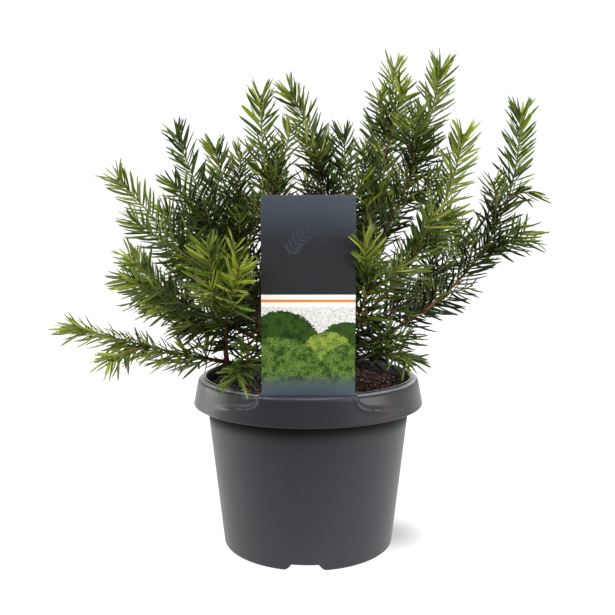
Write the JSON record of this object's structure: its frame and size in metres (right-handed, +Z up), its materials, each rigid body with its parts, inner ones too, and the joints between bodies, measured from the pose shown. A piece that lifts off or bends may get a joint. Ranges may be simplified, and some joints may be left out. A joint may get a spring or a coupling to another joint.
{
  "type": "potted english yew",
  "caption": "Young spreading English yew shrub with ascending needle-covered shoots, in a round plastic nursery pot with a plant label.",
  "frame": {"origin": "centre of the pot's flat foot, on the surface that it stands on", "axes": "+Z up, along the pot's axis; -Y towards the front, where the label stands; +X to the right of it"},
  "size_m": [0.3878, 0.2767, 0.4025],
  "materials": {
    "pot_plastic": "satin",
    "potting_soil": "rough",
    "label_card": "satin",
    "bark": "rough",
    "needles": "satin"
  },
  "bodies": {
    "root": {"pot": "pot_plastic", "soil": "potting_soil", "plant_label": "label_card", "trunk": "bark", "bough_low_left": "bark", "bough_left_mid": "bark", "bough_left_high": "bark", "bough_left_tall": "bark", "bough_left_inner": "bark", "bough_front_left": "bark", "bough_left_front": "bark", "bough_low_droop": "bark", "bough_centre_left": "bark", "bough_centre": "bark", "bough_centre_right": "bark", "bough_right_slim": "bark", "bough_right_inner": "bark", "bough_right_tall": "bark", "bough_right_second": "bark", "bough_right_mid": "bark", "bough_far_right": "bark", "bough_front_right": "bark", "bough_low_right": "bark", "bough_front_centre": "bark", "bough_back_far_left": "bark", "bough_back_low": "bark", "bough_back_near": "bark", "bough_back_far_right": "bark", "bough_back_left": "bark", "bough_back_mid": "bark", "bough_back_right": "bark", "bough_back_inner": "bark", "mass_low_left": "needles", "mass_left_mid": "needles", "mass_left_high": "needles", "mass_left_tall": "needles", "mass_left_inner": "needles", "mass_front_left": "needles", "mass_left_front": "needles", "mass_low_droop": "needles", "mass_centre_left": "needles", "mass_centre": "needles", "mass_centre_right": "needles", "mass_right_slim": "needles", "mass_right_inner": "needles", "mass_right_tall": "needles", "mass_right_second": "needles", "mass_right_mid": "needles", "mass_far_right": "needles", "mass_front_right": "needles", "mass_low_right": "needles", "mass_front_centre": "needles", "mass_back_far_left": "needles", "mass_back_low": "needles", "mass_back_near": "needles", "mass_back_far_right": "needles", "mass_back_left": "needles", "mass_back_mid": "needles", "mass_back_right": "needles", "mass_back_inner": "needles"}
  },
  "joints": []
}
